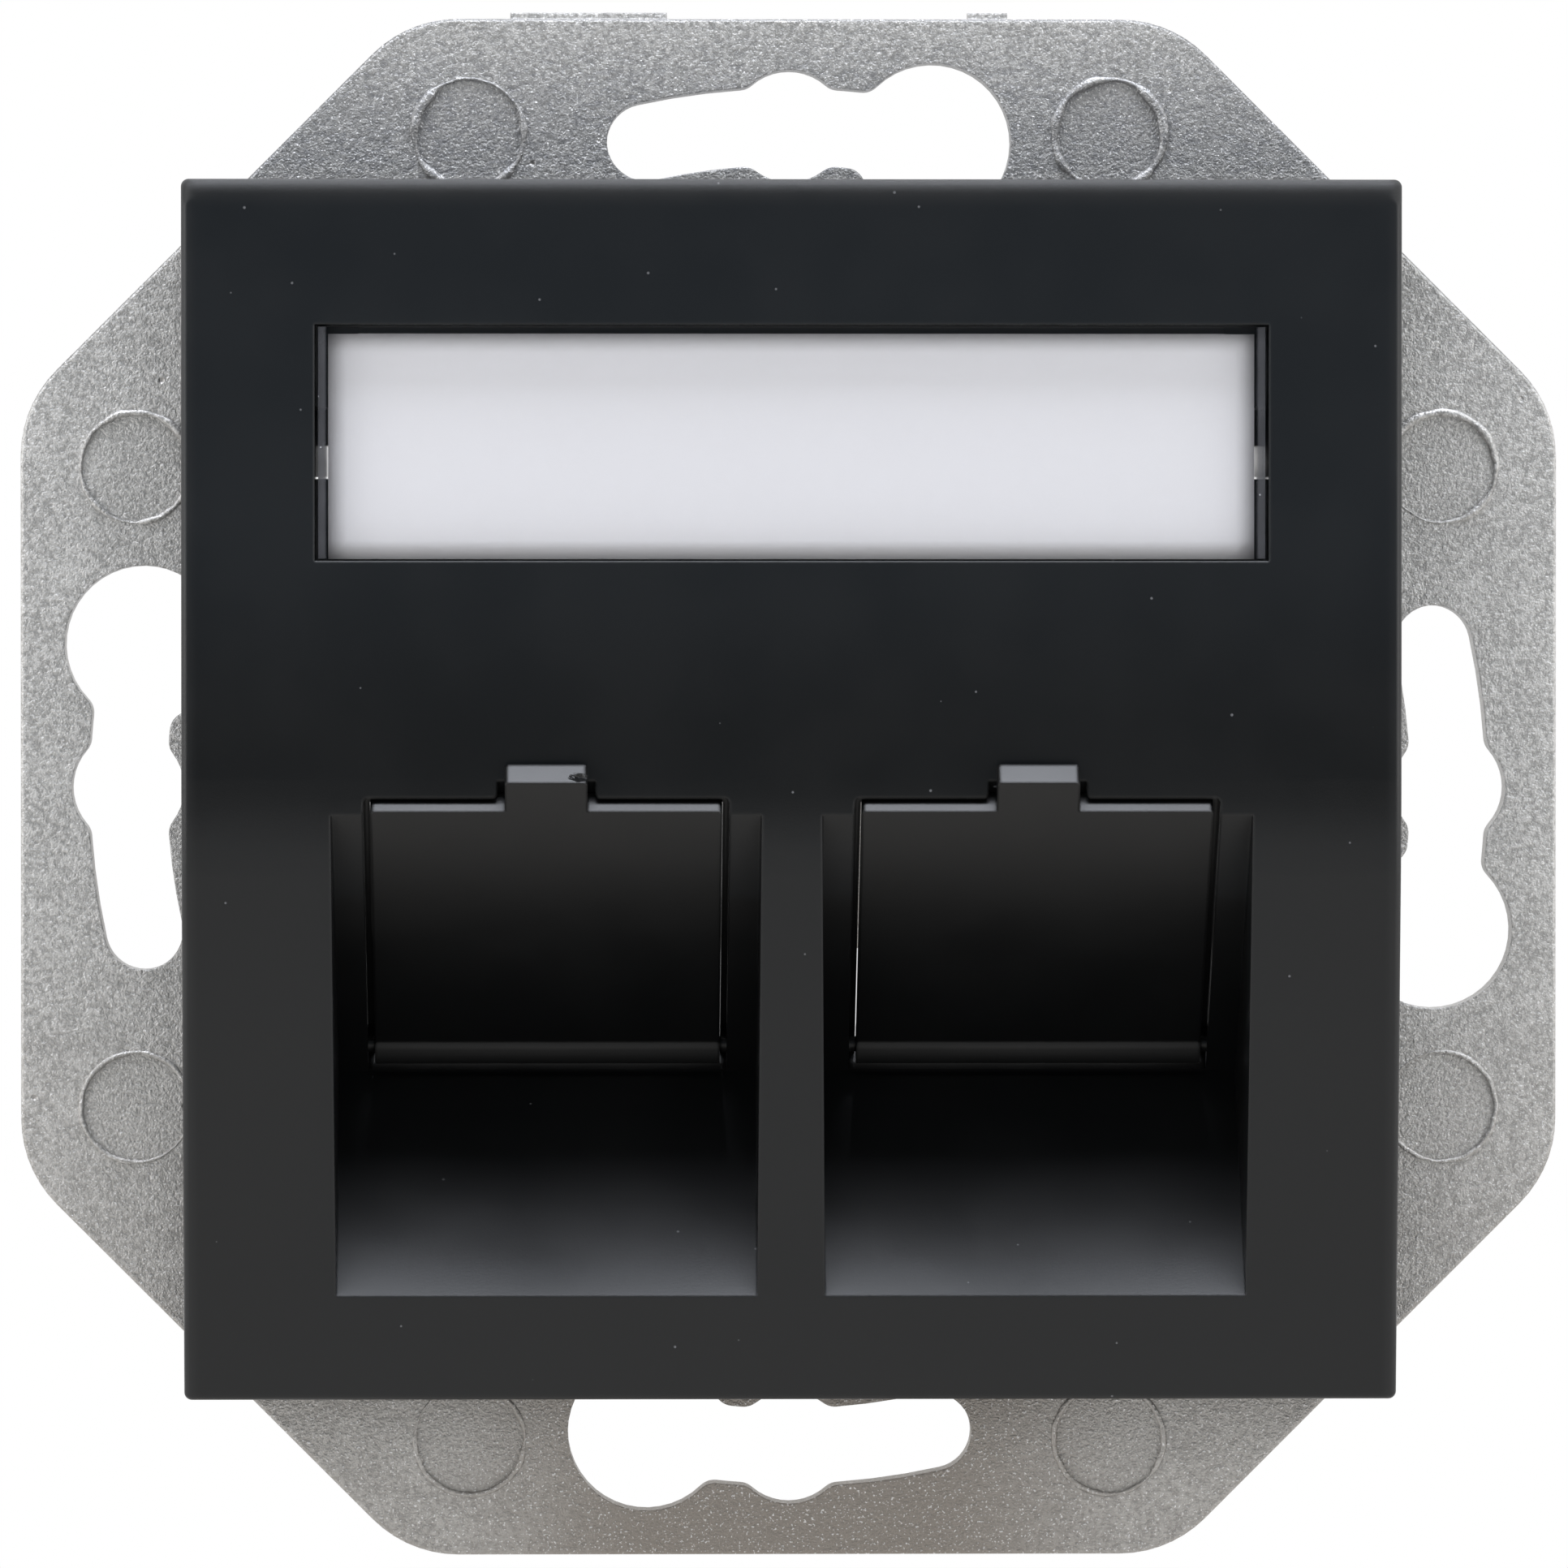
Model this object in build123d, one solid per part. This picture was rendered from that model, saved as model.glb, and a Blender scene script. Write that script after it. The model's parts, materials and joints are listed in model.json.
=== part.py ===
from build123d import *
import math
import os

# Keystone support ring for a flush wall box, with its central plate, label field and dust flaps.
# The front faces -Y, +Z is up and +X is right. The origin is the centre of the screw circle,
# on the flange's back face, where the ring meets the wall.

# Flange of the support ring
across_flats = 69.7
across_cuts = 73.76
outline_radius = 5.5
flange_thickness = 2.0
flange_edge_radius = 0.15

# Keyhole slots for the wall-box screws
screw_circle_radius = 30.0
slot_count = 4
slot_half_angle = 12.5
slot_end_radius = 1.78
slot_middle_radius = 2.55
slot_entry_radius = 3.57
slot_blend_radius = 0.9

# Marks that the casting keeps from its ejector pins and its gate
ejector_mark_radius = 2.5
ejector_mark_depth = 0.12
ejector_circle_radius = 33.0
ejector_half_angle = 26.1
gate_width = 7.1
gate_height = 0.3
gate_left_of_centre = 9.1
vent_width = 1.8
vent_right_of_centre = 9.0
stub_depth = 1.2

# Opening in the flange that the central plate's pockets dip through
opening_width = 48.6
opening_top = 15.5
opening_bottom = -22.4
opening_radius = 2.0

# Slanted holder behind the flange, and its panel cut-outs for keystone modules
port_pitch = 22.0
module_width = 14.8
module_height = 19.3
module_nose = 8.2
module_gap = 0.2
holder_thickness = 1.6
holder_margin = 2.0
holder_side_wall = 2.0
holder_side_root = 0.3
guide_rib_width = 1.5
guide_rib_height = 3.0
side_wall_top = 13.0
side_wall_bottom = -13.0

# Central plate, upright above its bend and leaning back below it
plate_width = 54.65
plate_top = 27.3
plate_bottom = -27.55
front_height = 7.0
lean_angle = 7.0
bend_height = -1.7
bend_radius = 35.0
plate_corner_radius = 0.35
plate_edge_radius = 0.3
plate_skin = 1.8
skirt_wall = 1.8

# Port pockets in the plate, with a slanted upper face that meets a slanted floor
slope_angle = 45.0
port_top = -1.1
port_bottom = -22.83
pocket_top_width = 19.3
pocket_bottom_width = 18.95
pocket_wall = 1.5
pocket_side_wall = 1.5
heel_reach = 1.1

# Dust flaps, whose upper edge stands a little in front of the plate's face
flap_width = 15.65
flap_reach = 15.85
flap_top = -1.0
flap_proud = 0.3
flap_thickness = 1.15
flap_corner_radius = 0.2
flap_side_gap = 0.375
flap_top_gap = 0.17
flap_back_gap = 0.05
stop_overlap = 0.6
stop_side_gap = 0.08
stop_thickness = 0.8
tab_width = 3.67
tab_rise = 1.84
tab_gap = 0.36
seat_corner_radius = 0.2
barrel_radius = 0.9
barrel_gap = 0.35
trunnion_radius = 0.35
trunnion_length = 0.8
trunnion_gap = 0.05
trunnion_end_gap = 0.1

# Label field
window_opening_width = 42.7
window_opening_top = 20.79
window_opening_bottom = 10.22
window_setback = 0.25
window_thickness = 1.2
window_end_gap = 0.15
window_edge_gap = 0.1
pry_gap = 0.4
pry_width = 38.8
label_width = 41.4
label_height = 10.1
label_thickness = 0.15
recess_floor = 1.2
recess_wall = 1.2
latch_height = 3.0
latch_thickness = 0.45
latch_barb = 0.3
latch_gap = 0.1
latch_hook_gap = 0.05
latch_tip = 0.6

# Snap legs of the central plate
leg_width = 6.0
leg_thickness = 1.4
leg_gap = 0.15
leg_hook = 0.6
leg_hook_gap = 0.05
hook_seat_depth = 1.3

# Places that follow from the sizes above
slope_sine = math.sin(math.radians(slope_angle))
slope_cosine = math.cos(math.radians(slope_angle))
face_y = -flange_thickness - front_height
hinge_y = face_y - flap_proud + flap_reach * slope_sine + flap_thickness / 2 * slope_cosine
hinge_z = flap_top - flap_reach * slope_cosine + flap_thickness / 2 * slope_sine
port_centres = (-port_pitch / 2, port_pitch / 2)
through = 4 * front_height

# Working planes: the slanted face of a pocket, and that slope seen from the side
slope_plane = Plane(origin=(0, hinge_y, hinge_z), x_dir=(1, 0, 0), z_dir=(0, -slope_cosine, -slope_sine))
slope_side = Plane(origin=(0, hinge_y, hinge_z), x_dir=(0, -slope_sine, slope_cosine), z_dir=(1, 0, 0))


def span(low, high):
    """Middle and length of the stretch from low to high."""
    return (low + high) / 2, high - low


def slope_point(up, out):
    """Side-view place (Y, Z) of a point given up the pocket's slope and out of it, from the hinge."""
    return hinge_y - up * slope_sine - out * slope_cosine, hinge_z + up * slope_cosine - out * slope_sine


def block(x, y, z):
    """Block between two places along each axis."""
    (x_mid, x_size), (y_mid, y_size), (z_mid, z_size) = span(*x), span(*y), span(*z)
    return Pos(x_mid, y_mid, z_mid) * Box(x_size, y_size, z_size)


def patch(x, y):
    """Flat rectangle between two places along each direction of its plane."""
    (x_mid, x_size), (y_mid, y_size) = span(*x), span(*y)
    return Pos(x_mid, y_mid) * Rectangle(x_size, y_size)


def prism(plane, face, low, high):
    """Face drawn on a plane and carried along the plane's normal from low to high."""
    return extrude(plane.offset(low) * face, amount=high - low)


def keyhole(direction):
    """One keyhole slot about the screw circle: entry circle, waist and narrow end."""
    middle_line = CenterArc((0, 0), screw_circle_radius, direction - slot_half_angle, 2 * slot_half_angle)
    slot = SlotArc(middle_line, 2 * slot_end_radius)
    entry = Rot(0, 0, direction - slot_half_angle) * Pos(screw_circle_radius, 0) * Circle(slot_entry_radius)
    middle = Rot(0, 0, direction) * Pos(screw_circle_radius, 0) * Circle(slot_middle_radius)
    shape = slot + entry + middle
    corners = [v for v in shape.vertices() if is_junction(v, direction)]
    return fillet(corners, slot_blend_radius)


def is_junction(vertex, direction):
    """True where a circle of the keyhole runs into the slot, and not at the slot's round end."""
    turn = math.degrees(math.atan2(vertex.Y, vertex.X)) - direction
    turn = (turn + 180) % 360 - 180
    end_reach = math.degrees(slot_end_radius / screw_circle_radius)
    return turn < slot_half_angle - end_reach / 2


def flange():
    """Octagon-like plate with its keyholes, ejector marks and casting stubs."""
    square = Rectangle(across_flats, across_flats)
    cuts = Rot(0, 0, 45) * Rectangle(across_cuts, across_cuts)
    outline = square & cuts
    outline = fillet(outline.vertices(), outline_radius)
    plate = prism(Plane.XZ, outline, 0, flange_thickness)
    rims = plate.edges().filter_by(Plane.XZ)
    plate = fillet(rims, flange_edge_radius)
    for turn in range(slot_count):
        plate -= prism(Plane.XZ, keyhole(turn * 360 / slot_count), -through, through)
    for turn in range(slot_count):
        for side in (-1, 1):
            angle = turn * 360 / slot_count + side * ejector_half_angle
            mark = Rot(0, 0, angle) * Pos(ejector_circle_radius, 0) * Circle(ejector_mark_radius)
            plate -= prism(Plane.XZ, mark, flange_thickness - ejector_mark_depth, through)
    return plate


def casting_stubs():
    """Broken-off gate and vent that stand on the flange's top edge."""
    top = across_flats / 2
    middle = -flange_thickness / 2
    depth = (middle - stub_depth / 2, middle + stub_depth / 2)
    height = (top - flange_edge_radius, top + gate_height)
    gate = block((-gate_left_of_centre - gate_width / 2, -gate_left_of_centre + gate_width / 2), depth, height)
    vent = block((vent_right_of_centre - vent_width / 2, vent_right_of_centre + vent_width / 2), depth, height)
    return gate + vent


def flange_opening():
    """Rounded opening that the plate's pockets and the modules pass through."""
    outline = patch((-opening_width / 2, opening_width / 2), (opening_bottom, opening_top))
    outline = fillet(outline.vertices(), opening_radius)
    return prism(Plane.XZ, outline, -flange_thickness, 2 * flange_thickness)


def hook_seat(centre, edge):
    """Rebate in the flange's back face, at an edge of its opening, that a snap leg hooks into."""
    outwards = math.copysign(1, edge)
    half = leg_width / 2 + leg_gap
    height = sorted((edge - outwards * leg_gap, edge + outwards * (leg_hook + leg_gap)))
    return block((centre - half, centre + half), (-hook_seat_depth, hook_seat_depth), height)


def module_middle():
    """Place of a module's middle up the slope, measured from the flap's hinge."""
    return (flap_reach - stop_overlap) / 2


def seat_depth():
    """Distance of the flap's seat behind the flap's middle plane."""
    return flap_thickness / 2 + flap_back_gap


def holder_front():
    """Place of the holder's front face out of the slope, negative because it lies behind the hinge."""
    return -seat_depth() - stop_thickness - module_gap - module_nose


def holder():
    """Slanted panel, its side walls down to the flange, and the guide ribs beside each aperture."""
    outer = opening_width / 2 + holder_side_root
    front = holder_front()
    back = front - holder_thickness
    reach = module_height / 2 + holder_margin
    low, high = module_middle() - reach, module_middle() + reach
    body = prism(slope_side, patch((low, high), (back, front)), -outer, outer)
    strip = patch((-flange_thickness, 0), (side_wall_bottom, side_wall_top))
    lower = make_face(Polyline((0, side_wall_bottom), slope_point(low, front), slope_point(high, front),
                               close=True))
    upper = make_face(Polyline((0, side_wall_top), (-flange_thickness, side_wall_top),
                               slope_point(high, front), slope_point(low, front), close=True))
    side = strip + lower + upper
    for inner in (-outer, outer - holder_side_wall):
        body += prism(Plane.YZ, side, inner, inner + holder_side_wall)
    for centre in port_centres:
        for direction in (-1, 1):
            edge = centre + direction * module_width / 2
            width = sorted((edge, edge + direction * guide_rib_width))
            length = (module_middle() - module_height / 2, module_middle() + module_height / 2)
            body += prism(slope_plane, patch(width, length), back - guide_rib_height, back)
    return body


def module_aperture(centre):
    """Rectangular cut-out that a keystone module snaps into."""
    width = (centre - module_width / 2, centre + module_width / 2)
    length = (module_middle() - module_height / 2, module_middle() + module_height / 2)
    back = holder_front() - holder_thickness
    return prism(slope_plane, patch(width, length), back - holder_thickness, holder_front() + holder_thickness)


def support_ring():
    """The whole die-casting."""
    ring = flange() + casting_stubs() - flange_opening() + holder()
    for centre in port_centres:
        ring -= module_aperture(centre)
        for edge in (opening_bottom, opening_top):
            ring -= hook_seat(centre, edge)
    return ring


def front_at(height):
    """Place of the plate's front at a height, upright above the bend and leaning back below it."""
    return face_y + max(bend_height - height, 0) * math.tan(math.radians(lean_angle))


def plate_side(setback, inset, back):
    """Side view of the plate, from a setback behind its front to a place at the back, inset at top and bottom."""
    top, bottom = plate_top - inset, plate_bottom + inset
    corners = Polyline((back, bottom), (front_at(bottom) + setback, bottom), (face_y + setback, bend_height),
                       (face_y + setback, top), (back, top), close=True)
    side = make_face(corners)
    bend = side.vertices().sort_by_distance((face_y + setback, bend_height))[0]
    return fillet(bend, bend_radius)


def pocket_section():
    """Side view of a port pocket: slanted face down to its heel, and the floor, open to the front."""
    slope = flap_reach + heel_reach
    heel = (face_y + slope * slope_sine, port_top - slope * slope_cosine)
    outside = face_y - front_height
    rim = (front_at(port_bottom), port_bottom)
    return make_face(Polyline(rim, (outside, port_bottom), (outside, port_top), (face_y, port_top),
                              heel, close=True))


def pocket(centre):
    """Hollow of one port pocket, a little narrower at the bottom."""
    half_top, half_bottom = pocket_top_width / 2, pocket_bottom_width / 2
    front_view = make_face(Polyline((-half_bottom, port_bottom), (half_bottom, port_bottom),
                                    (half_top, port_top), (-half_top, port_top), close=True))
    wide = prism(Plane.YZ, pocket_section(), -half_top, half_top)
    return Pos(centre, 0, 0) * (wide & prism(Plane.XZ, front_view, -through, through))


def seat_bottom():
    """Lower end of a flap's seat, measured up the slope from the flap's hinge."""
    return -barrel_radius - barrel_gap


def pocket_shell(centre):
    """Moulded wall around one port pocket, behind the plate's face, thicker around the flap's stop."""
    reach = pocket_top_width / 2 + pocket_side_wall
    shell = prism(Plane.YZ, offset(pocket_section(), pocket_wall), -reach, reach)
    stop = patch((seat_bottom(), flap_reach + tab_rise), (-seat_depth() - stop_thickness, 0))
    shell += prism(slope_side, stop, -reach, reach)
    behind_face = prism(Plane.YZ, plate_side(0, 0, through), -reach, reach)
    return Pos(centre, 0, 0) * (shell & behind_face)


def flap_seat(centre):
    """Rebate that a flap and its tab lie in, the opening inside its stop, and the bearing holes."""
    half_seat = flap_width / 2 + flap_side_gap
    half_notch = tab_width / 2 + tab_gap
    half_opening = flap_width / 2 + stop_side_gap
    top = flap_reach + flap_top_gap
    outline = patch((-half_seat, half_seat), (seat_bottom(), top))
    outline += patch((-half_notch, half_notch), (flap_reach, flap_reach + 2 * tab_rise))
    upper_corners = [v for v in outline.vertices() if abs(v.Y - top) < flap_top_gap / 2]
    outline = fillet(upper_corners, seat_corner_radius)
    cut = prism(slope_plane, outline, -seat_depth(), flap_thickness)
    opening = patch((-half_opening, half_opening), (seat_bottom(), flap_reach - stop_overlap))
    cut += prism(slope_plane, opening, -seat_depth() - pocket_wall, 0)
    reach = flap_width / 2 + trunnion_length + trunnion_end_gap
    cut += prism(slope_side, Circle(trunnion_radius + trunnion_gap), -reach, reach)
    return Pos(centre, 0, 0) * cut


def recess_depth():
    """Depth of the label field behind the plate's face."""
    return window_setback + window_thickness + label_thickness


def label_recess():
    """Hollow of the label field, with the slots for the window's latch legs."""
    half = window_opening_width / 2
    height = (window_opening_bottom, window_opening_top)
    floor_y = face_y + recess_depth()
    cut = block((-half, half), (face_y - plate_skin, floor_y), height)
    middle, _ = span(*height)
    slot_reach = latch_height / 2 + latch_gap
    slot_width = window_end_gap + latch_thickness + latch_gap
    for inner in (-half, half - slot_width):
        cut += block((inner, inner + slot_width), (floor_y, floor_y + recess_floor),
                     (middle - slot_reach, middle + slot_reach))
    return cut


def recess_tray():
    """Wall and floor around the label field, behind the plate's face."""
    half = window_opening_width / 2 + recess_wall
    height = (window_opening_bottom - recess_wall, window_opening_top + recess_wall)
    return block((-half, half), (face_y + plate_skin / 2, face_y + recess_depth() + recess_floor), height)


def snap_leg(centre, edge, root):
    """Leg that hooks into the flange's back at an edge of its opening, grown from the moulding at its root."""
    outwards = math.copysign(1, edge)
    outer = edge - outwards * leg_gap
    inner = outer - outwards * leg_thickness
    hook = edge + outwards * leg_hook
    catch = leg_hook_gap - hook_seat_depth
    tip = -leg_hook_gap
    profile = make_face(Polyline((root, inner), (root, outer), (catch, outer), (catch, hook),
                                 (tip, outer), (tip, inner), close=True))
    return prism(Plane.YZ, profile, centre - leg_width / 2, centre + leg_width / 2)


def central_plate():
    """The black moulding that covers the ring."""
    half = plate_width / 2
    body = prism(Plane.YZ, plate_side(0, 0, -flange_thickness), -half, half)
    body = fillet(body.edges().filter_by(Axis.Y), plate_corner_radius)
    front_faces = [face for face in body.faces() if face.normal_at().Y < -slope_cosine]
    edges = [edge for face in front_faces for edge in face.edges()]
    body = fillet([edge for edge in edges if edges.count(edge) == 1], plate_edge_radius)
    inside = half - skirt_wall
    body -= prism(Plane.YZ, plate_side(plate_skin, skirt_wall, through), -inside, inside)
    body += recess_tray()
    for centre in port_centres:
        body += pocket_shell(centre)
        body += snap_leg(centre, opening_top, face_y + recess_depth())
        body += snap_leg(centre, opening_bottom, face_y + front_height - plate_skin)
    for centre in port_centres:
        body -= pocket(centre)
        body -= flap_seat(centre)
    return body - label_recess()


def label_window():
    """Clear cover with a pry gap along its top edge and a latch leg at each end."""
    half = window_opening_width / 2 - window_end_gap
    bottom = window_opening_bottom + window_edge_gap
    top = window_opening_top - window_edge_gap
    front = face_y + window_setback
    back = front + window_thickness
    cover = block((-half, half), (front, back), (bottom, top))
    pry_edge = window_opening_top - pry_gap
    cover -= block((-pry_width / 2, pry_width / 2), (front, back), (pry_edge, top))
    middle, _ = span(window_opening_bottom, window_opening_top)
    hook_y = face_y + recess_depth() + recess_floor + latch_hook_gap
    for direction in (-1, 1):
        profile = Polyline((half - latch_thickness, back), (half, back), (half, hook_y),
                           (half + latch_barb, hook_y), (half, hook_y + latch_tip),
                           (half - latch_thickness, hook_y + latch_tip), close=True)
        leg = prism(Plane.XY, make_face(profile), middle - latch_height / 2, middle + latch_height / 2)
        cover += leg if direction > 0 else mirror(leg, Plane.YZ)
    return cover


def label_strip():
    """Paper strip between the window and the floor of the label field."""
    middle, _ = span(window_opening_bottom + window_edge_gap, window_opening_top - pry_gap)
    back = face_y + recess_depth()
    return block((-label_width / 2, label_width / 2), (back - label_thickness, back),
                 (middle - label_height / 2, middle + label_height / 2))


def dust_flap(centre):
    """Flap with its finger tab, the barrel along its lower edge and the two trunnions it turns on."""
    half = flap_width / 2
    outline = patch((-half, half), (0, flap_reach))
    outline += patch((-tab_width / 2, tab_width / 2), (flap_reach - tab_rise, flap_reach + tab_rise))
    ends = [v for v in outline.vertices() if v.Y > flap_reach / 2]
    free_corners = [v for v in ends if abs(v.X) > tab_width or v.Y > flap_reach + tab_rise / 2]
    outline = fillet(free_corners, flap_corner_radius)
    flap = prism(slope_plane, outline, -flap_thickness / 2, flap_thickness / 2)
    flap += prism(slope_side, Circle(barrel_radius), -half, half)
    pin_reach = half + trunnion_length
    flap += prism(slope_side, Circle(trunnion_radius), -pin_reach, pin_reach)
    return Pos(centre, 0, 0) * flap


pieces = {
    "support_ring": support_ring(),
    "central_plate": central_plate(),
    "label_window": label_window(),
    "label_strip": label_strip(),
    "dust_flap_left": dust_flap(port_centres[0]),
    "dust_flap_right": dust_flap(port_centres[1]),
}

os.makedirs("parts", exist_ok=True)
for name, solid in pieces.items():
    export_step(solid, f"parts/{name}.step")
    print(name, "volume", round(solid.volume, 1))
print("hinge axis at Y", round(hinge_y, 3), "Z", round(hinge_z, 3))
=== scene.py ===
# %% [markdown]
# A support ring for a flush wall box, seen straight from the front.
# A raw zinc casting carries a black moulded plate, which has a label field and two ports with
# hinged dust flaps. The solids come ready made and fixed in place. This lesson dresses them:
# it softens their edges, adds what the casting process leaves behind, and gives each material
# the grain and the wear that the real one shows.

# %% Load the solids
import json
import math

import bmesh
import bpy
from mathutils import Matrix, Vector


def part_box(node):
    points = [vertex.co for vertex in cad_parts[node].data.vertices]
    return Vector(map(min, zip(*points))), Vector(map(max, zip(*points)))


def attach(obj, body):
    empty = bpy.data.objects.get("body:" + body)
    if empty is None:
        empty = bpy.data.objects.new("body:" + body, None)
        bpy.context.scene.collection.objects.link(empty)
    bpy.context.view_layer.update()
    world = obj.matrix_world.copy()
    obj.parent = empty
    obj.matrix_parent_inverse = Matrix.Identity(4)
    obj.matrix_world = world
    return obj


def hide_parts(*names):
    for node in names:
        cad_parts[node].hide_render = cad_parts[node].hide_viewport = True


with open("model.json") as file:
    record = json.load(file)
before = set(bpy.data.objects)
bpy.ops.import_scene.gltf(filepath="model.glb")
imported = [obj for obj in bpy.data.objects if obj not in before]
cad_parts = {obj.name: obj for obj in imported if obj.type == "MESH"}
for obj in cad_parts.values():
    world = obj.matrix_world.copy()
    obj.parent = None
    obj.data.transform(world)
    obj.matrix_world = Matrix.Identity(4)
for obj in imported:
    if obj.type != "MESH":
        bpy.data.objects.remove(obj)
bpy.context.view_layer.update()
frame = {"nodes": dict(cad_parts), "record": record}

# %% [markdown]
# The box of each bare solid is measured and its size printed.
# All lengths in this file are metres, and a millimetre has a name of its own because most sizes
# on a part this small are easiest to read that way.

# %% Measure the bare solids
mm = 0.001
nodes = frame["nodes"]
scene = bpy.context.scene
for name in sorted(nodes):
    low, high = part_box(name)
    print(name, "size in mm:", [round(side / mm, 2) for side in high - low])

# %% [markdown]
# Shader maths reads best as plain expressions, such as 1 - mask * 0.5.
# A small class wraps a socket and makes each operator add a Math node.

# %% Sockets that Python operators work with
class Wire:
    """An output socket of a node tree, for use in expressions."""

    def __init__(self, tree, socket):
        self.tree = tree
        self.socket = socket

    def __add__(self, other):
        return self.tree.math("ADD", self, other)

    def __sub__(self, other):
        return self.tree.math("SUBTRACT", self, other)

    def __rsub__(self, other):
        return self.tree.math("SUBTRACT", other, self)

    def __mul__(self, other):
        return self.tree.math("MULTIPLY", self, other)

    def __abs__(self):
        return self.tree.math("ABSOLUTE", self)

    __radd__ = __add__
    __rmul__ = __mul__


print("reflected operators:", [word for word in vars(Wire) if word.startswith("__r")])

# %% [markdown]
# Everything else, such as textures and bumps, comes from one method that takes the node's type,
# its settings and its inputs. The methods below it only give names to the nodes that are used
# most. A Mix node has several sockets of the same name, one for each kind of value, so they are
# picked by number.

# %% The method that adds any node
mix_sockets = {"RGBA": (0, 6, 7, 2), "VECTOR": (0, 4, 5, 1)}


class Tree:
    """A node tree, with the one method that adds any node to it."""

    def __init__(self, node_tree):
        self.nodes = node_tree.nodes
        self.links = node_tree.links
        self.nodes.clear()

    def put(self, value, socket):
        """Link or set an input. A colour is given as three numbers, and its alpha is always 1."""
        if isinstance(value, Wire):
            self.links.new(value.socket, socket)
        elif value is not None:
            socket.default_value = (*value, 1.0) if socket.type == "RGBA" else value

    def add(self, kind, settings=None, inputs=(), output=0):
        node = self.nodes.new(kind)
        for key, value in (settings or {}).items():
            setattr(node, key, value)
        pairs = inputs.items() if isinstance(inputs, dict) else enumerate(inputs)
        for key, value in pairs:
            self.put(value, node.inputs[key])
        return Wire(self, node.outputs[output]) if node.outputs else None

    def math(self, operation, *values):
        return self.add("ShaderNodeMath", {"operation": operation}, values)

    def capped_sum(self, a, b):
        """Sum of two masks that never passes 1."""
        return self.add("ShaderNodeMath", {"operation": "ADD", "use_clamp": True}, (a, b))

    def vector_math(self, operation, *values):
        """Vector Math node, whose LENGTH is a number while all else is a vector."""
        output = "Value" if operation == "LENGTH" else "Vector"
        return self.add("ShaderNodeVectorMath", {"operation": operation}, values, output)

    def place(self):
        return self.add("ShaderNodeTexCoord", output="Object")

    def axes(self, vector=None):
        """X, Y and Z of a vector, or of the place, as three numbers."""
        parts = self.nodes.new("ShaderNodeSeparateXYZ")
        self.put(vector or self.place(), parts.inputs["Vector"])
        return [Wire(self, socket) for socket in parts.outputs]

    def noise(self, size, detail=2.0, roughness=0.5, stretch=(1.0, 1.0, 1.0), distortion=0.0):
        """Cloudy noise whose blobs are about size metres wide, from 0 to 1."""
        where = self.add("ShaderNodeMapping", {}, {"Vector": self.place(), "Scale": stretch})
        sizes = {"Vector": where, "Scale": 1 / size, "Detail": detail, "Roughness": roughness,
                 "Distortion": distortion}
        return self.add("ShaderNodeTexNoise", {}, sizes)

    def cells(self, size):
        """Distance to the nearest of scattered points, which lie about size metres apart."""
        sizes = {"Vector": self.place(), "Scale": 1 / size}
        return self.add("ShaderNodeTexVoronoi", {}, sizes, "Distance")

    def ramp(self, value, low, high, start=0.0, end=1.0):
        """The value carried smoothly from the range low to high onto start to end."""
        ends = {"Value": value, "From Min": low, "From Max": high, "To Min": start, "To Max": end}
        return self.add("ShaderNodeMapRange", {"interpolation_type": "SMOOTHSTEP"}, ends)

    def mix(self, factor, a, b, kind="RGBA"):
        """a where the factor is 0 and b where it is 1: colours, or directions for the kind VECTOR."""
        factor_socket, a_socket, b_socket, result = mix_sockets[kind]
        values = {factor_socket: factor, a_socket: a, b_socket: b}
        return self.add("ShaderNodeMix", {"data_type": kind}, values, result)

    def bump(self, height, distance, strength=1.0, normal=None):
        values = {"Strength": strength, "Distance": distance, "Height": height, "Normal": normal}
        return self.add("ShaderNodeBump", {}, values)

    def shader(self, **values):
        """The main shader, with inputs named in words joined by underscores."""
        named = {}
        for words, value in values.items():
            named[words.replace("_", " ").title().replace("Ior", "IOR")] = value
        return self.add("ShaderNodeBsdfPrincipled", {}, named)

    def surface(self, shader, owner="Material"):
        """The output node of a Material, or of the World, with its shader."""
        self.add(f"ShaderNodeOutput{owner}", {}, {"Surface": shader})


print("mix sockets for factor, a, b and result:", mix_sockets)

# %% [markdown]
# Each finish is made by a function of its own and kept under its name, so that any piece can be
# given it later. The number of nodes says how much work a finish takes.

# %% A shelf for the finishes
finishes = {}


def new_material(name):
    material = bpy.data.materials.new(name)
    material.use_nodes = True
    return material, Tree(material.node_tree)


def keep_finish(name, material):
    finishes[name] = material
    print(name, "is made of", len(material.node_tree.nodes), "nodes")


def dress(piece, finish):
    piece.data.materials.clear()
    piece.data.materials.append(finishes[finish])


print("finishes so far:", len(finishes))
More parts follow.
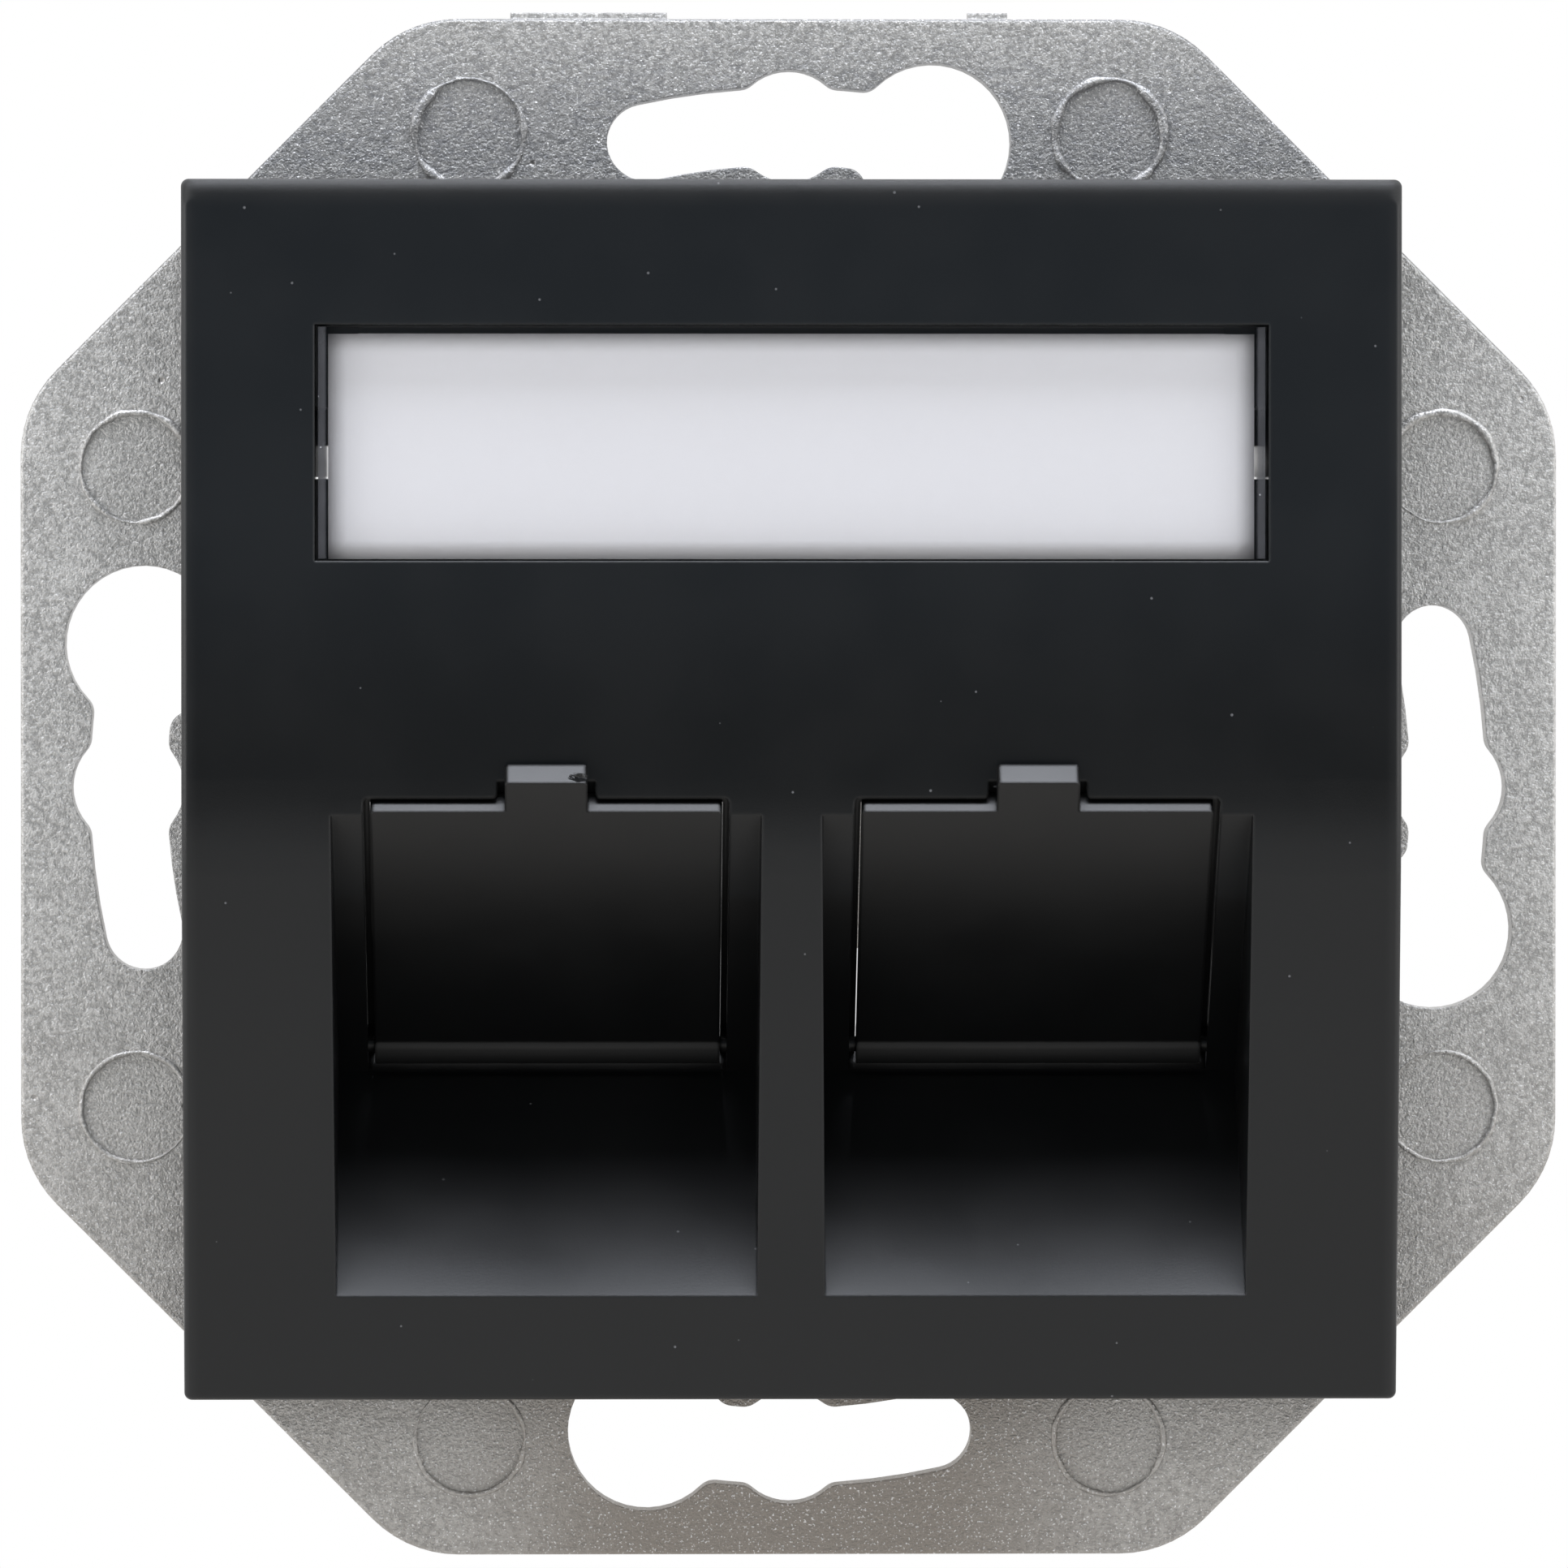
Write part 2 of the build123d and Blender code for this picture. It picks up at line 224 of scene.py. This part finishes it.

# %% [markdown]
# The ring is a raw die casting, neither polished nor plated. Its skin froze against the steel of
# the mould as a mat of tiny crystals, so in even light it is a mid grey full of bright and dark
# grains. Fine noise colours the grains and tilts each one, which makes some sparkle.
# Coarse noise makes a faint mottle, and cells make the odd pit. Above the plate, where the gate
# let the metal in, the grain is coarser, with short bluish streaks where the metal's front cooled
# as it ran, and just above the plate the skin is darkened with painted shade from the plate.
# Below the plate the skin is painted darker and browner towards the bottom and the middle, which
# is painted shade where the plate shades it. The flange's broken edge, which leans back from its
# face, gets painted shade: its colour is darkened so that it doesn't throw the overhead light back
# as pure white. The direction of the face finds it.
# The Bevel node rounds the sharp edges of the solid as far as light is concerned: a tenth of a
# millimetre is far too little to see in the outline, but it catches a thin line of light.

# %% Zinc casting
# The gate zone also bounds the painted shade just above the plate.
gate_start, gate_full = 26.0 * mm, 28.5 * mm
gate_fading, gate_end = 29.5 * mm, 37.0 * mm
# Bounds of the painted shade below the plate, darkest at the bottom and the middle.
lower_shade_top, lower_shade_bottom = 4.0 * mm, -34.0 * mm
lower_shade_middle, lower_shade_side = 6.0 * mm, 17.0 * mm
ring_face = -2.0 * mm
zinc_edge_radius = 0.12 * mm


def zinc_casting():
    material, tree = new_material("zinc_casting")
    across, depth, height = tree.axes()
    gate_zone_and_shade = tree.ramp(height, gate_start, gate_full) * tree.ramp(height, gate_end, gate_fading)
    painted_shade_below = tree.ramp(height, lower_shade_top, lower_shade_bottom)
    middle = tree.ramp(abs(across), lower_shade_side, lower_shade_middle)
    crystals = tree.noise(0.11 * mm, detail=1.0, roughness=0.6)
    grains = tree.noise(0.19 * mm, detail=2.0, roughness=0.65)
    mottle = tree.noise(2.6 * mm, detail=4.0, roughness=0.6)
    streaks = tree.noise(0.30 * mm, detail=3.0, roughness=0.7, stretch=(0.55, 1.0, 1.25), distortion=0.5)
    spark = tree.ramp(crystals, 0.62, 0.70) * (0.80 + gate_zone_and_shade * 0.20)
    pits = tree.ramp(tree.cells(1.7 * mm), 0.10, 0.04) * tree.ramp(mottle, 0.52, 0.60)
    cold = tree.ramp(streaks + mottle * 0.4, 0.68, 0.82) * gate_zone_and_shade
    shade = tree.ramp(mottle * 0.22 + grains * 0.78, 0.36, 0.64)
    grey = tree.mix(shade, (0.430, 0.423, 0.411), (0.665, 0.655, 0.638))
    cooled = tree.mix(cold * 0.45, grey, (0.165, 0.175, 0.205))
    # Painted shade: the ring just above the plate is darkened, where the plate shades it.
    shaded_above_plate = tree.mix(gate_zone_and_shade * 0.58, cooled, (0.215, 0.220, 0.232))
    # Painted shade: darker and browner towards the bottom and the middle, below the plate.
    shaded_below_plate = tree.mix(painted_shade_below * (0.45 + middle * 0.55), shaded_above_plate, (0.290, 0.262, 0.232))
    pitted = tree.mix(pits * 0.5, shaded_below_plate, (0.20, 0.19, 0.18))
    _, back, up = tree.axes(tree.add("ShaderNodeNewGeometry", output="True Normal"))
    behind_face = tree.ramp(depth, ring_face - 0.05 * mm, ring_face)
    broken_edge = tree.ramp(up, 0.2, 0.6) * tree.ramp(back, -0.3, -0.6) * behind_face
    # Painted shade: the broken edge's colour is darkened so that it doesn't shine white.
    edge_shaded = tree.mix(broken_edge * 0.75, pitted, (0.11, 0.11, 0.11))
    sparkling = tree.mix(spark * 0.72, edge_shaded, (0.95, 0.95, 0.96))
    relief = crystals * 0.5 + grains * (0.7 + gate_zone_and_shade * 0.35) - pits * 0.9
    rounded = tree.add("ShaderNodeBevel", {"samples": 3}, {"Radius": zinc_edge_radius})
    normal = tree.bump(relief, 0.07 * mm, normal=rounded)
    roughness = tree.ramp(grains, 0.3, 0.7, 0.40, 0.56)
    tree.surface(tree.shader(base_color=sparkling, metallic=0.8, roughness=roughness, normal=normal))
    return material


keep_finish("zinc_casting", zinc_casting())

# %% [markdown]
# The plate and the flaps are one kind of black plastic with a fine satin texture from the mould.
# Its colour is almost nothing, so what shows is the light that the surface returns: the texture
# needs the right height and the sheen the right width. Both pieces share this, and each brings
# its own colour and the normals of its rounded edges.

# %% Satin black
def mould_cloud(tree):
    """Slow unevenness of the moulding's skin."""
    return tree.noise(5 * mm, detail=3.0)


def satin_black(tree, cloud, colour, rounded, dull=0.0):
    """Main shader of the black plastic, over a colour and a normal whose edges are rounded already."""
    texture = tree.noise(0.10 * mm, detail=2.0, roughness=0.6)
    normal = tree.bump(texture, 0.008 * mm, strength=0.35, normal=rounded)
    roughness = tree.ramp(cloud, 0.3, 0.7, 0.29, 0.33) + dull
    tree.surface(tree.shader(base_color=colour, roughness=roughness, ior=1.48, normal=normal))


print("satin black is ready for the plate and the flaps")

# %% [markdown]
# The plate is painted lighter and bluer towards its top and on the face around the ports, which is
# painted reflection, and its rims are painted grey, which is painted highlight. A few motes of dust
# lie on it. Ramps along the axes place the painted reflection and highlight, and scattered cells
# the dust. The top edge is rounded more than the rest, so the Bevel node's radius grows there.
# Deep inside the ports the mould's edges are sharp, and the plain normal takes over.

# %% Black plate
plate_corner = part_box("central_plate")[1]
side_rim_width = 0.8 * mm
top_rim_width = 1.4 * mm
reflection_start, reflection_end = 1.0 * mm, 13.0 * mm
lower_start, lower_full = 0.0 * mm, -3.0 * mm
pocket_edge, lower_face_depth = -4.8 * mm, -5.5 * mm
plate_edge_radius, top_edge_radius = 0.18 * mm, 0.90 * mm
sharp_start, sharp_full = -2.6 * mm, -1.2 * mm


def black_plate():
    material, tree = new_material("black_moulding")
    across, depth, height = tree.axes()
    cloud = mould_cloud(tree)
    dust = tree.ramp(tree.cells(1.9 * mm) - tree.noise(2.3 * mm) * 0.037, 0.021, 0.0)
    side_rim_highlight = tree.ramp(abs(across), plate_corner.x - side_rim_width, plate_corner.x)
    top_rim_highlight = tree.ramp(height, plate_corner.z - top_rim_width, plate_corner.z)
    # Painted highlight: the top and side rims are made grey.
    rims = tree.math("MAXIMUM", side_rim_highlight * 0.5, top_rim_highlight) * tree.ramp(cloud, 0.1, 0.7, 0.7, 1.1)
    lower_face = tree.ramp(height, lower_start, lower_full) * tree.ramp(depth, pocket_edge, lower_face_depth)
    # Painted reflection: lighter and bluer towards the top and on the lower face around the ports.
    painted_reflection = tree.ramp(height, reflection_start, reflection_end) * 0.28 + lower_face * 0.12
    black = tree.mix(cloud, (0.0010, 0.0012, 0.0014), (0.0016, 0.0018, 0.0021))
    bluish = tree.mix(painted_reflection, black, (0.0165, 0.0205, 0.0250))
    painted_rim_highlight = tree.mix(rims, bluish, (0.020, 0.020, 0.020))
    dusty = tree.mix(dust * 0.35, painted_rim_highlight, (0.30, 0.30, 0.31))
    radius = tree.ramp(height, plate_corner.z - 1.2 * mm, plate_corner.z - 0.8 * mm,
                       plate_edge_radius, top_edge_radius)
    bevel = tree.add("ShaderNodeBevel", {"samples": 4}, {"Radius": radius})
    sharp = tree.add("ShaderNodeNewGeometry", output="Normal")
    rounded = tree.mix(tree.ramp(depth, sharp_start, sharp_full), bevel, sharp, "VECTOR")
    satin_black(tree, cloud, dusty, rounded)
    return material


keep_finish("black_moulding", black_plate())

# %% [markdown]
# A flap is too small and too deep in its port to be touched much, so it has no fading and no dust.
# Its barrel is duller, because it is moulded by another, less polished part of the mould. The left
# flap's tab has been nicked by a fingernail or a screwdriver at its right corner. The nick is
# smaller than a grain of sand, so a dent in the bump is enough: a cone about one point, squeezed
# a little and made ragged by noise. It is nowhere near the right flap, so both share the finish.

# %% Black flap
barrel_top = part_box("dust_flap_left")[0].z + 0.9 * mm
barrel_blend = 0.3 * mm
tab_nick = Vector((-9.50, -10.35, 0.55)) * mm
nick_squeeze = (0.7, 1.0, 1.5)
nick_radius, nick_floor, nick_raggedness = 0.50 * mm, 0.05 * mm, 0.3 * mm
nick_depth = 0.30 * mm
flap_edge_radius = 0.20 * mm


def black_flap():
    material, tree = new_material("black_flap")
    _, _, height = tree.axes()
    cloud = mould_cloud(tree)
    bevel = tree.add("ShaderNodeBevel", {"samples": 4}, {"Radius": flap_edge_radius})
    offset = tree.vector_math("SUBTRACT", tree.place(), tab_nick)
    away = tree.vector_math("LENGTH", tree.vector_math("MULTIPLY", offset, nick_squeeze))
    dent = tree.ramp(away + tree.noise(0.25 * mm) * nick_raggedness, nick_radius, nick_floor)
    nicked = tree.bump(dent * -1, nick_depth, normal=bevel)
    on_barrel = tree.ramp(height, barrel_top, barrel_top - barrel_blend)
    black = tree.mix(cloud, (0.0012, 0.0013, 0.0015), (0.0018, 0.0020, 0.0022))
    satin_black(tree, cloud, black, nicked, on_barrel * 0.35)
    return material


keep_finish("black_flap", black_flap())

# %% [markdown]
# The window over the label is clear acrylic. A refracting glass shader would need very many rays
# to bring light to the paper behind it. The pane is flat and thin, so it bends nothing that shows:
# light may pass straight through, and only the share that Fresnel's law reflects meets a gloss.
# From inside the pane the index is turned over and weakened, so that only very steep light is
# held back. Its sawn ends and the odd speck of dust scatter light, and look grey.

# %% Clear moulding
window_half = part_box("label_window")[1].x
acrylic_index = 1.49
weakened_index = 1 / 1.25


def clear_moulding():
    material, tree = new_material("clear_moulding")
    across, _, _ = tree.axes()
    ends = tree.ramp(abs(across), window_half - 0.75 * mm, window_half - 0.55 * mm)
    haze = tree.noise(1.5 * mm, detail=3.0)
    specks = tree.ramp(tree.cells(0.6 * mm), 0.09, 0.03)
    normal = tree.bump(tree.noise(0.5 * mm, stretch=(0.06, 1.0, 1.6)), 0.002 * mm, strength=0.1)
    inside = tree.add("ShaderNodeNewGeometry", output="Backfacing")
    index = acrylic_index - inside * (acrylic_index - weakened_index)
    mirror = tree.add("ShaderNodeFresnel", {}, {"IOR": index, "Normal": normal})
    scatter = tree.ramp(haze, 0.35, 0.7, 0.66, 0.84) + specks * 0.3
    colour = tree.mix(specks, (0.07, 0.07, 0.075), (0.45, 0.45, 0.46))
    gloss = tree.shader(base_color=colour, roughness=tree.ramp(haze, 0.4, 0.75, 0.04, 0.12),
                        metallic=tree.ramp(ends, 0.0, 1.0, 1.0, 0.0), normal=normal)
    through = tree.add("ShaderNodeBsdfTransparent", {}, {"Color": (0.992, 0.992, 0.996)})
    share = tree.capped_sum(mirror, ends * scatter)
    tree.surface(tree.add("ShaderNodeMixShader", {}, (share, through, gloss)))
    return material


keep_finish("clear_moulding", clear_moulding())

# %% [markdown]
# The label is a strip of plain office paper: matte, faintly blue-white, with fibres that only
# show as a slight unevenness. Noise that is stretched along the strip stands for the fibres.

# %% Label paper
def label_paper():
    material, tree = new_material("label_paper")
    fibres = tree.noise(0.25 * mm, detail=3.0, stretch=(0.35, 1.0, 1.0))
    white = tree.mix(fibres, (0.745, 0.735, 0.742), (0.770, 0.760, 0.768))
    normal = tree.bump(fibres, 0.01 * mm, strength=0.3)
    tree.surface(tree.shader(base_color=white, roughness=0.9, specular_ior_level=0.2, normal=normal))
    return material


keep_finish("label_paper", label_paper())

# %% [markdown]
# The ring, the plate and the window keep their solids as they are, and only get their finish.
# The record that comes with the solids says which finish each one has.

# %% Give each node its material
node_finish = {row["node"]: row["material_slot"] for row in frame["record"]["subparts"]}
for name, finish in node_finish.items():
    dress(nodes[name], finish)
    print(name, "has", finish)

# %% [markdown]
# A flap is moulded a shade wider than drawn, so only a hair of light gets past its sides. A copy
# of the solid is merged from its loose triangles, widened about its own middle, and put in the
# solid's place on the same body. Faces that meet at a shallow angle are shaded as one curve,
# which keeps the barrel round.

# %% Dust flaps
widening = 0.055 * mm
same_point = 0.0005 * mm
crease_angle = math.radians(30)


def body_of(name):
    """Name of the body that a node rides on."""
    return next(body for body, members in frame["record"]["behaviour"]["bodies"].items() if name in members)


def flap_moulding(name):
    low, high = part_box(name)
    middle = (low.x + high.x) / 2
    stretch = 1 + widening / (high.x - middle)
    work = bmesh.new()
    work.from_mesh(nodes[name].data)
    bmesh.ops.remove_doubles(work, verts=work.verts, dist=same_point)
    for vertex in work.verts:
        vertex.co.x = middle + (vertex.co.x - middle) * stretch
    for edge in work.edges:
        edge.smooth = len(edge.link_faces) == 2 and edge.calc_face_angle() < crease_angle
    for face in work.faces:
        face.smooth = True
    mesh = bpy.data.meshes.new(name + "_moulding")
    work.to_mesh(mesh)
    work.free()
    piece = bpy.data.objects.new(name + "_moulding", mesh)
    scene.collection.objects.link(piece)
    dress(piece, "black_flap")
    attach(piece, body_of(name))
    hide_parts(name)
    print(piece.name, "width in mm:", round((high.x - low.x) * stretch / mm, 3))


for side in ("left", "right"):
    flap_moulding(f"dust_flap_{side}")

# %% [markdown]
# The label is a cut slip of paper that lies loose behind the window, so it isn't perfectly flat.
# A grid with a slow wave of a few hundredths of a millimetre stands for it. It has to keep a hair
# of air to the pane, because two faces in the very same place flicker when they are rendered.

# %% Label sheet
sheet_spare = 0.08 * mm
sheet_air = 0.03 * mm
sheet_thickness = 0.07 * mm
wave_height = 0.02 * mm
wave_along, wave_up, wave_slant = 9 * mm, 5 * mm, 20 * mm
columns, rows = 48, 12


def sheet_wave(x, z):
    """How far the paper lies behind its foremost place."""
    return wave_height * (1 + math.sin(x / wave_along) * math.cos(z / wave_up + x / wave_slant))


def label_sheet():
    low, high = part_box("label_strip")
    left, right = low.x - sheet_spare, high.x + sheet_spare
    work = bmesh.new()
    grid = []
    for j in range(rows + 1):
        z = low.z + (high.z - low.z) * j / rows
        places = [left + (right - left) * i / columns for i in range(columns + 1)]
        grid.append([work.verts.new((x, low.y + sheet_air + sheet_wave(x, z), z)) for x in places])
    for below, above in zip(grid, grid[1:]):
        for i in range(columns):
            face = work.faces.new((below[i], below[i + 1], above[i + 1], above[i]))
            face.smooth = True
    mesh = bpy.data.meshes.new("label_sheet")
    work.to_mesh(mesh)
    work.free()
    piece = bpy.data.objects.new("label_sheet", mesh)
    scene.collection.objects.link(piece)
    paper = piece.modifiers.new("paper_thickness", "SOLIDIFY")
    paper.thickness = sheet_thickness
    paper.offset = -1.0
    dress(piece, "label_paper")
    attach(piece, body_of("label_strip"))
    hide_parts("label_strip")
    print("label sheet in mm:", round((right - left) / mm, 2), "by", round((high.z - low.z) / mm, 2))


label_sheet()

# %% [markdown]
# What repeats is made by Geometry Nodes, so two helpers come first: one starts a tree with a named
# input for each size, and the other runs a finished tree and keeps its result as a plain mesh.

# %% Trees for repeated details
def new_group(name, sizes):
    """Empty geometry tree with a named input for each size. Gives it, its tree, inputs and identifiers."""
    group = bpy.data.node_groups.new(name, "GeometryNodeTree")
    group.interface.new_socket("Geometry", in_out="OUTPUT", socket_type="NodeSocketGeometry")
    identifiers = {}
    for key, value in sizes.items():
        kind = "NodeSocketInt" if isinstance(value, int) else "NodeSocketFloat"
        identifiers[key] = group.interface.new_socket(key, in_out="INPUT", socket_type=kind).identifier
    tree = Tree(group)
    given = tree.nodes.new("NodeGroupInput")
    return group, tree, {key: Wire(tree, given.outputs[key]) for key in sizes}, identifiers


def grow(piece_name, group, identifiers, sizes, finish, body):
    """Plain mesh piece from a geometry tree whose inputs are set to the sizes."""
    seedling = bpy.data.objects.new(piece_name + "_seedling", bpy.data.meshes.new(piece_name + "_seedling"))
    scene.collection.objects.link(seedling)
    modifier = seedling.modifiers.new("grown", "NODES")
    modifier.node_group = group
    for key, value in sizes.items():
        modifier[identifiers[key]] = value
    grown = seedling.evaluated_get(bpy.context.evaluated_depsgraph_get())
    mesh = bpy.data.meshes.new_from_object(grown)
    bpy.data.objects.remove(seedling)
    mesh.name = piece_name
    piece = bpy.data.objects.new(piece_name, mesh)
    scene.collection.objects.link(piece)
    dress(piece, finish)
    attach(piece, body)
    print(piece_name, "faces:", len(mesh.polygons))


print("ready to grow what repeats")

# %% [markdown]
# Eight pins push the hot casting out of its mould, and each leaves a round mark. Metal creeps into
# the gap around a pin, so the mark has a thin, ragged rim, which is stronger near the gate.
# The marks repeat, so Geometry Nodes make them: eight points in pairs about the centre, a circle
# on each that noise pulls out of true, and a round profile swept along it, whose width another
# noise lets swell and shrink.

# %% Rims of the ejector marks
rim_sizes = {
    "Marks": 8,
    "Circle radius": 33.0 * mm,
    "Half angle": math.radians(26.1),
    "Mark radius": 2.5 * mm,
    "Face": ring_face,
    "Rim width": 0.26 * mm,
    "Seed": 4,
}
swell_length, wander_length = 2.2 * mm, 0.7 * mm
wander_reach = (0.16 * mm, 0.04 * mm, 0.16 * mm)
rim_growth_top = 28.0 * mm
steps_round_mark, sides_of_rim = 72, 8


def ejector_rims():
    group, tree, given, identifiers = new_group("ejector_rims", rim_sizes)
    index = tree.add("GeometryNodeInputIndex")
    pair = tree.math("FLOOR", index * 0.5)
    side = (index - pair * 2) * 2 - 1
    angle = pair * math.radians(90) + side * given["Half angle"]
    reach = given["Circle radius"]
    place = tree.add("ShaderNodeCombineXYZ", {}, (tree.math("COSINE", angle) * reach, given["Face"],
                                                  tree.math("SINE", angle) * reach))
    points = tree.add("GeometryNodePoints", {}, {"Count": given["Marks"], "Position": place})
    circle = tree.add("GeometryNodeCurvePrimitiveCircle", {},
                      {"Resolution": steps_round_mark, "Radius": given["Mark radius"]})
    marks = tree.add("GeometryNodeInstanceOnPoints", {},
                     {"Points": points, "Instance": circle, "Rotation": (math.radians(90), 0, 0)})
    curves = tree.add("GeometryNodeRealizeInstances", {}, {"Geometry": marks})
    where = tree.add("GeometryNodeInputPosition")
    ragged = tree.add("ShaderNodeTexNoise", {"noise_dimensions": "4D"},
                      {"Vector": where, "W": given["Seed"], "Scale": 1 / swell_length, "Detail": 3.0})
    wander = tree.add("ShaderNodeTexNoise", {"noise_dimensions": "4D"},
                      {"Vector": where, "W": given["Seed"] + 1, "Scale": 1 / wander_length, "Detail": 2.0},
                      "Color")
    about_zero = tree.vector_math("SUBTRACT", wander, (0.5, 0.5, 0.5))
    offset = tree.vector_math("MULTIPLY", about_zero, wander_reach)
    moved = tree.add("GeometryNodeSetPosition", {}, {"Geometry": curves, "Offset": offset})
    _, _, height = tree.axes(where)
    swell = tree.ramp(ragged, 0.36, 0.60, 0.25, 1.0) * tree.ramp(height, 0.0, rim_growth_top, 0.50, 1.0)
    profile = tree.add("GeometryNodeCurvePrimitiveCircle", {},
                       {"Resolution": sides_of_rim, "Radius": given["Rim width"]})
    rims = tree.add("GeometryNodeCurveToMesh", {},
                    {"Curve": moved, "Profile Curve": profile, "Scale": swell})
    whole = tree.add("GeometryNodeRealizeInstances", {}, {"Geometry": rims})
    coated = tree.add("GeometryNodeSetMaterial", {},
                      {"Geometry": whole, "Material": finishes["zinc_casting"]})
    tree.add("NodeGroupOutput", {}, {"Geometry": coated})
    grow("ejector_rims", group, identifiers, rim_sizes, "zinc_casting", body_of("support_ring"))


ejector_rims()

# %% [markdown]
# The background is white and endless. The floor lies well below the part, takes its shadow close
# by, and fades to the white of the backdrop further out. The world is white where a camera, a
# reflection or the clear window looks at it, and a dim fill light for everything else.

# %% Floor and world
floor_height = -0.10
floor_reach = 4.0
fade_start, fade_end = 0.22, 0.60
fill_strength = 0.30
white = (1.0, 1.0, 1.0)


def seen_directly(tree):
    """1 for rays from the camera, from reflections and through glass, and 0 for the rest."""
    camera_ray, glossy_ray, glass_ray = [tree.add("ShaderNodeLightPath", output=f"Is {kind} Ray")
                                         for kind in ("Camera", "Glossy", "Transmission")]
    return tree.capped_sum(camera_ray + glossy_ray, glass_ray)


def make_floor():
    mesh = bpy.data.meshes.new("floor")
    signs = ((-1, -1), (1, -1), (1, 1), (-1, 1))
    corners = [(x * floor_reach, y * floor_reach, floor_height) for x, y in signs]
    mesh.from_pydata(corners, [], [(0, 1, 2, 3)])
    floor = bpy.data.objects.new("floor", mesh)
    scene.collection.objects.link(floor)
    material, tree = new_material("pale_floor")
    flat = tree.add("ShaderNodeMapping", {}, {"Vector": tree.place(), "Scale": (1, 1, 0)})
    reach = tree.vector_math("LENGTH", flat)
    colour = tree.mix(tree.noise(4 * mm), (0.80, 0.80, 0.80), (0.82, 0.82, 0.82))
    paint = tree.add("ShaderNodeBsdfDiffuse", {}, {"Color": colour})
    glow = tree.add("ShaderNodeEmission", {}, {"Color": white, "Strength": 1.0})
    far = tree.ramp(reach, fade_start, fade_end) * seen_directly(tree)
    tree.surface(tree.add("ShaderNodeMixShader", {}, (far, paint, glow)))
    mesh.materials.append(material)


def make_world():
    world = bpy.data.worlds.new("studio")
    scene.world = world
    world.use_nodes = True
    tree = Tree(world.node_tree)
    backdrop = tree.add("ShaderNodeBackground", {}, {"Color": white, "Strength": 1.0})
    fill = tree.add("ShaderNodeBackground", {}, {"Color": (0.96, 0.98, 1.0), "Strength": fill_strength})
    tree.surface(tree.add("ShaderNodeMixShader", {}, (seen_directly(tree), fill, backdrop)), "World")


make_floor()
make_world()
print("floor at", floor_height, "m, fading to white from", fade_start, "to", fade_end, "m")

# %% [markdown]
# Most of the light comes from one broad soft box overhead. A weaker box stands at each side, and a
# faint one in front, which no reflection shows, lifts the zinc and the label. Area lights take a
# power, which is worked out here from the brightness of the box, so that a box that changes size
# stays as bright as it was.

# %% Soft boxes
def soft_box(name, place, target, size, brightness, colour=white):
    """Area light at a place, aimed at a target, whose face has the given brightness."""
    light = bpy.data.lights.new(name, "AREA")
    light.shape = "RECTANGLE"
    light.size, light.size_y = size
    light.energy = 4 * brightness * size[0] * size[1]
    light.color = colour
    box = bpy.data.objects.new(name, light)
    scene.collection.objects.link(box)
    box.location = place
    box.rotation_euler = (Vector(target) - Vector(place)).to_track_quat("-Z", "Y").to_euler()
    box.visible_camera = False
    return box


cold_white = (0.87, 0.91, 1.0)
part_middle = (0, 0, 0)
side_size = (0.45, 0.6)
soft_box("overhead_box", (0.0, -0.14, 0.60), (0, -0.01, 0), (0.64, 0.38), brightness=6.0, colour=cold_white)
soft_box("left_box", (-0.62, -0.42, 0.06), part_middle, side_size, brightness=1.65)
soft_box("right_box", (0.62, -0.42, 0.06), part_middle, side_size, brightness=1.25)
front_box = soft_box("front_box", (0.0, -0.80, 0.20), part_middle, (1.2, 0.8), brightness=0.62)
front_box.visible_glossy = False

# %% [markdown]
# The black moulding shows little but reflections, so what it mirrors is set up as in a product
# studio: a dark card where the camera stands, which the upright upper half of the plate mirrors,
# and a grey one lying in front, which the leaning lower half mirrors. Both cards only show in
# reflections, and they share the edge where they meet.

# %% Reflection cards
def reflection_card(name, corners, brightness, colour):
    """Glowing four-cornered card that only shows in reflections."""
    mesh = bpy.data.meshes.new(name)
    mesh.from_pydata(corners, [], [(0, 1, 2, 3)])
    card = bpy.data.objects.new(name, mesh)
    scene.collection.objects.link(card)
    material, tree = new_material(name)
    tree.surface(tree.add("ShaderNodeEmission", {}, {"Color": colour, "Strength": brightness}))
    mesh.materials.append(material)
    card.visible_camera = False
    card.visible_diffuse = False
    card.visible_transmission = False
    card.visible_shadow = False


card_half = 0.60
card_front, card_back = -0.75, 0.2
card_bottom, card_top = -0.095, 0.50
shared_edge = [(-card_half, card_front, card_bottom), (card_half, card_front, card_bottom)]
upper_edge = [(card_half, card_front, card_top), (-card_half, card_front, card_top)]
far_edge = [(card_half, card_back, card_bottom), (-card_half, card_back, card_bottom)]
reflection_card("dark_front", shared_edge + upper_edge, brightness=0.14, colour=(0.62, 0.82, 1.0))
reflection_card("grey_foreground", shared_edge + far_edge, brightness=0.80, colour=(1.0, 0.98, 0.95))
print("cards are", 2 * card_half, "m wide")

# %% [markdown]
# The photograph was taken with a long lens from about half a metre, a touch left of the middle
# and a touch above it. The camera repeats that, so the part's front fills the frame.

# %% Camera
camera_place = Vector((-8.9, -494.0, 6.35)) * mm
camera_target = Vector((-0.24, -2.0, 0.15)) * mm
focal_length_in_mm = 248.9
sensor_width_in_mm = 36.0
nearest_seen, farthest_seen = 0.01, 50.0

lens = bpy.data.cameras.new("camera")
lens.lens = focal_length_in_mm
lens.sensor_width = sensor_width_in_mm
lens.clip_start, lens.clip_end = nearest_seen, farthest_seen
camera = bpy.data.objects.new("camera", lens)
scene.collection.objects.link(camera)
camera.location = camera_place
camera.rotation_euler = (camera_target - camera_place).to_track_quat("-Z", "Y").to_euler()
scene.camera = camera
scene.view_settings.view_transform = "Standard"
print("camera", round((camera_place - camera_target).length / mm), "mm from the part")

# %% [markdown]
# Dressing must not make the part larger than its solids.
